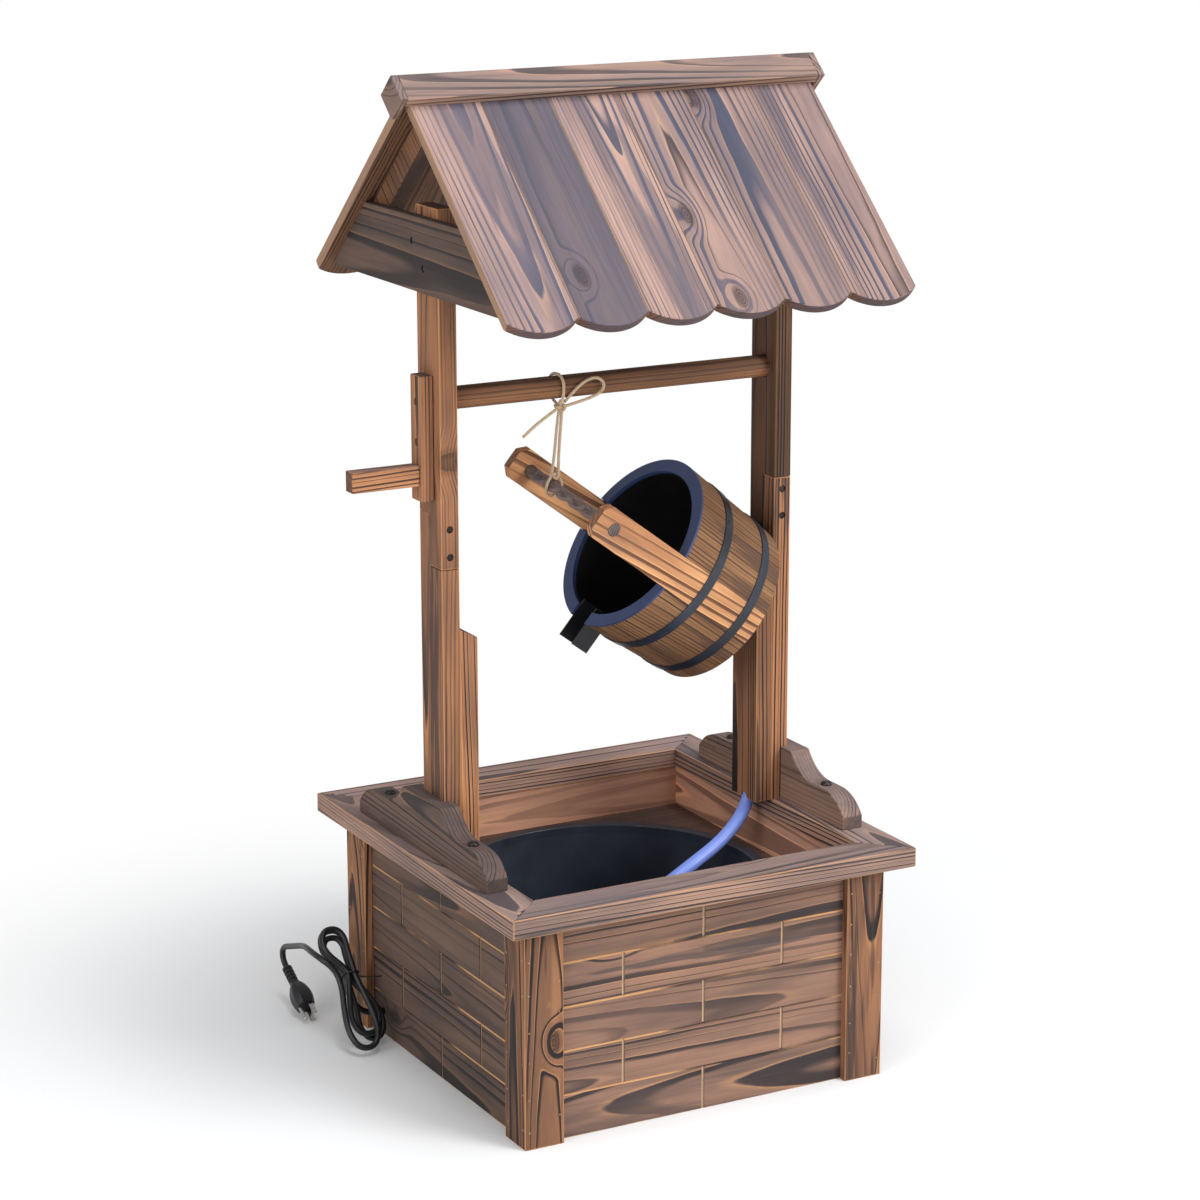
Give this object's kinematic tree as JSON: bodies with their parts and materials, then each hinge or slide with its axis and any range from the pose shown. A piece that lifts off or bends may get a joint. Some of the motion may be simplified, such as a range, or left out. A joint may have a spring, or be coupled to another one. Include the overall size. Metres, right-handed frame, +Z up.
{
  "type": "wishing well fountain",
  "caption": "Wooden wishing well fountain with brick-grooved square base, tub and pump, gabled roof, windlass and crank, and a tilted pouring bucket.",
  "frame": {"origin": "middle of the bottom of the box, on the ground", "axes": "+X along the roof's ridge, from the crank to the hose side; -Y is the front; +Z up"},
  "size_m": [0.5953, 0.5837, 1.1681],
  "materials": {
    "charred_wood": "charred and brushed fir, matt",
    "rim_wood": "charred and brushed fir, greyed, matt",
    "roof_wood": "charred and brushed fir, greyed, matt",
    "bucket_wood": "lightly charred fir, matt",
    "bucket_rod_wood": "grey-brown stained dowel, matt",
    "black_steel": "black painted, half matt",
    "black_plastic": "moulded, slight sheen",
    "grey_plastic": "moulded",
    "soft_rubber": "soft, matt",
    "blue_hose": "soft vinyl, slight gloss",
    "cord_jacket": "vinyl jacket, slight gloss",
    "plug_brass": "nickel plated",
    "jute": "twisted natural fibre"
  },
  "bodies": {
    "well": {"bracket_bolts": "black_steel", "bracket_left": "charred_wood", "bracket_right": "charred_wood", "bucket_ears": "bucket_wood", "bucket_floor": "bucket_wood", "bucket_hoops": "black_steel", "bucket_liner": "black_plastic", "bucket_rod": "bucket_rod_wood", "bucket_spout": "black_plastic", "bucket_staves": "bucket_wood", "cap_end_plates": "charred_wood", "cord_tie": "cord_jacket", "corner_trim_back_left": "charred_wood", "corner_trim_back_right": "charred_wood", "corner_trim_front_left": "charred_wood", "corner_trim_front_right": "charred_wood", "gable_board_left": "charred_wood", "gable_board_right": "charred_wood", "hose": "blue_hose", "hose_elbow": "black_plastic", "inner_frame": "charred_wood", "lap_screws": "black_steel", "plug_blades": "plug_brass", "plug_body": "cord_jacket", "post_cover_left": "charred_wood", "post_cover_right": "charred_wood", "post_lower_left": "charred_wood", "post_lower_right": "charred_wood", "post_upper_left": "charred_wood", "post_upper_right": "charred_wood", "power_cord_inside": "cord_jacket", "power_cord_outside": "cord_jacket", "pump_body": "black_plastic", "pump_cover": "black_plastic", "pump_suction_cups": "soft_rubber", "rafters": "charred_wood", "ridge_cap_back": "charred_wood", "ridge_cap_front": "charred_wood", "rim_board_back": "rim_wood", "rim_board_front": "rim_wood", "rim_board_left": "rim_wood", "rim_board_right": "rim_wood", "roof_boards_back": "roof_wood", "roof_boards_front": "roof_wood", "roof_screws": "black_steel", "tub": "black_plastic", "tub_ledge": "charred_wood", "twine_bow": "jute", "twine_sling": "jute", "twine_tail": "jute", "wall_back": "charred_wood", "wall_front": "charred_wood", "wall_left": "charred_wood", "wall_right": "charred_wood"},
    "windlass": {"windlass_axle": "charred_wood", "crank_arm": "charred_wood", "crank_handle": "charred_wood", "crank_screws": "black_steel"},
    "impeller": {"pump_impeller": "grey_plastic"},
    "flow_slider": {"pump_flow_slider": "grey_plastic"}
  },
  "joints": [
    {"name": "windlass_turn", "type": "hinge", "parent": "well", "child": "windlass", "pos_m": [0, 0, 0.808], "axis": [1, 0, 0], "continuous": true},
    {"name": "impeller_spin", "type": "hinge", "parent": "well", "child": "impeller", "pos_m": [0, -0.008, 0.0545], "axis": [0, 1, 0], "continuous": true},
    {"name": "pump_flow", "type": "slide", "parent": "well", "child": "flow_slider", "axis": [1, 0, 0], "range_m": [0, 0.009]}
  ]
}
